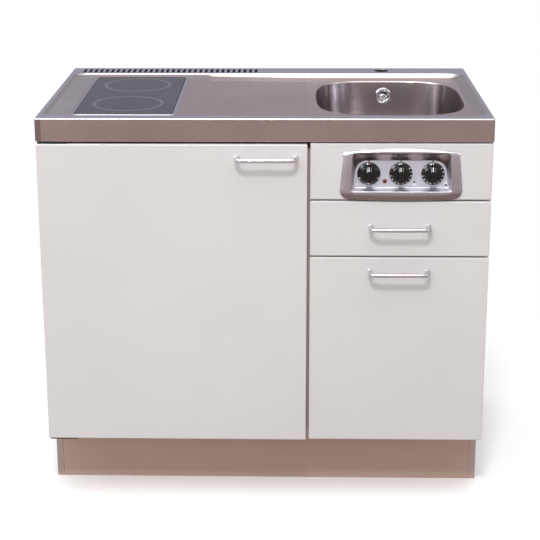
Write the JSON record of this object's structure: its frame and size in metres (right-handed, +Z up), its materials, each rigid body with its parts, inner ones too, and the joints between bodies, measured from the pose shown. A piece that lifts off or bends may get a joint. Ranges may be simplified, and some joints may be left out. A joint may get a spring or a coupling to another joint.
{
  "type": "kitchenette unit with sink and hob",
  "caption": "Free-standing kitchenette: pressed steel worktop with sink, drainer and ceramic hob over a refrigerator, a drawer and a waste pull-out.",
  "frame": {"origin": "on the floor, below the middle of the whole unit's box with its handles", "axes": "+Z up, -Y out of the front, +X to the right seen from the front"},
  "size_m": [1, 0.6384, 0.9006],
  "materials": {
    "steel": "fine linen-pressed stainless steel, satin",
    "chrome": "bright polished",
    "satin_silver": "satin silver",
    "zinc_plate": "zinc plated, semi-matt",
    "hob_glass": "dark glass ceramic, glossy",
    "clear_plastic": "clear, glossy",
    "front_white": "white laminated board, satin",
    "board_grey": "light grey laminated board, matt",
    "white_plastic": "white, semi-matt",
    "bezel_grey": "light grey moulding, satin",
    "plate_grey": "silver-grey printed plate, satin",
    "knob_black": "black, glossy",
    "compressor_black": "black enamel",
    "gasket_rubber": "light grey, soft",
    "heater_fibre": "pressed insulation, matt",
    "lamp_red": "red lens, glossy"
  },
  "bodies": {
    "unit": {"worktop": "steel", "sink_bowl": "steel", "overflow_rosette": "chrome", "drain_flange": "chrome", "hob_casing": "zinc_plate", "control_box": "zinc_plate", "hinge_bracket_top": "zinc_plate", "hinge_bracket_bottom": "zinc_plate", "drawer_runner_left": "zinc_plate", "drawer_runner_right": "zinc_plate", "pullout_runner_left": "zinc_plate", "pullout_runner_right": "zinc_plate", "condenser": "zinc_plate", "hob_glass": "hob_glass", "fridge_shelf_lower": "clear_plastic", "fridge_shelf_upper": "clear_plastic", "crisper_drawer": "clear_plastic", "control_front": "front_white", "side_panel_left": "board_grey", "side_panel_right": "board_grey", "plinth_board": "board_grey", "bottom_panel": "board_grey", "partition_panel": "board_grey", "front_rail": "board_grey", "rear_rail": "board_grey", "back_panel": "board_grey", "fridge_cabinet": "white_plastic", "thermostat_housing": "white_plastic", "overflow_hose": "white_plastic", "drain_body": "white_plastic", "waste_pipe": "white_plastic", "bottle_trap": "white_plastic", "timer_switch": "white_plastic", "front_zone_switch": "white_plastic", "rear_zone_switch": "white_plastic", "control_bezel": "bezel_grey", "control_plate": "plate_grey", "compressor": "compressor_black", "heater_front": "heater_fibre", "heater_rear": "heater_fibre", "pilot_lamp": "lamp_red"},
    "door": {"fridge_door": "white_plastic", "door_gasket": "gasket_rubber", "door_rack_lower": "clear_plastic", "door_rack_upper": "clear_plastic", "decor_panel": "front_white", "door_handle": "satin_silver"},
    "drawer": {"drawer_tray": "white_plastic", "drawer_front": "front_white", "drawer_handle": "satin_silver"},
    "pullout": {"pullout_tray": "white_plastic", "pullout_front": "front_white", "pullout_handle": "satin_silver", "waste_bin": "bezel_grey"},
    "timer": {"timer_knob": "knob_black"},
    "front_zone": {"front_zone_knob": "knob_black"},
    "rear_zone": {"rear_zone_knob": "knob_black"},
    "strainer": {"strainer_basket": "chrome"},
    "thermostat": {"thermostat_knob": "bezel_grey"}
  },
  "joints": [
    {"name": "door_hinge", "type": "hinge", "parent": "unit", "child": "door", "pos_m": [-0.4895, -0.27525, 0.493], "axis": [0, 0, -1], "range_deg": [0, 105]},
    {"name": "drawer_slide", "type": "slide", "parent": "unit", "child": "drawer", "axis": [0, -1, 0], "range_m": [0, 0.3]},
    {"name": "pullout_slide", "type": "slide", "parent": "unit", "child": "pullout", "axis": [0, -1, 0], "range_m": [0, 0.36]},
    {"name": "timer_turn", "type": "hinge", "parent": "unit", "child": "timer", "pos_m": [0.23, -0.26775, 0.7745], "axis": [0, 1, 0], "range_deg": [0, 300]},
    {"name": "front_zone_turn", "type": "hinge", "parent": "unit", "child": "front_zone", "pos_m": [0.3, -0.26775, 0.7745], "axis": [0, 1, 0], "range_deg": [0, 300]},
    {"name": "rear_zone_turn", "type": "hinge", "parent": "unit", "child": "rear_zone", "pos_m": [0.37, -0.26775, 0.7745], "axis": [0, 1, 0], "range_deg": [0, 300]},
    {"name": "strainer_lift", "type": "slide", "parent": "unit", "child": "strainer", "axis": [0, 0, 1], "range_m": [0, 0.18]},
    {"name": "thermostat_turn", "type": "hinge", "parent": "unit", "child": "thermostat", "pos_m": [-0.2, -0.08845, 0.7644], "axis": [0, 1, 0], "range_deg": [0, 270]}
  ]
}
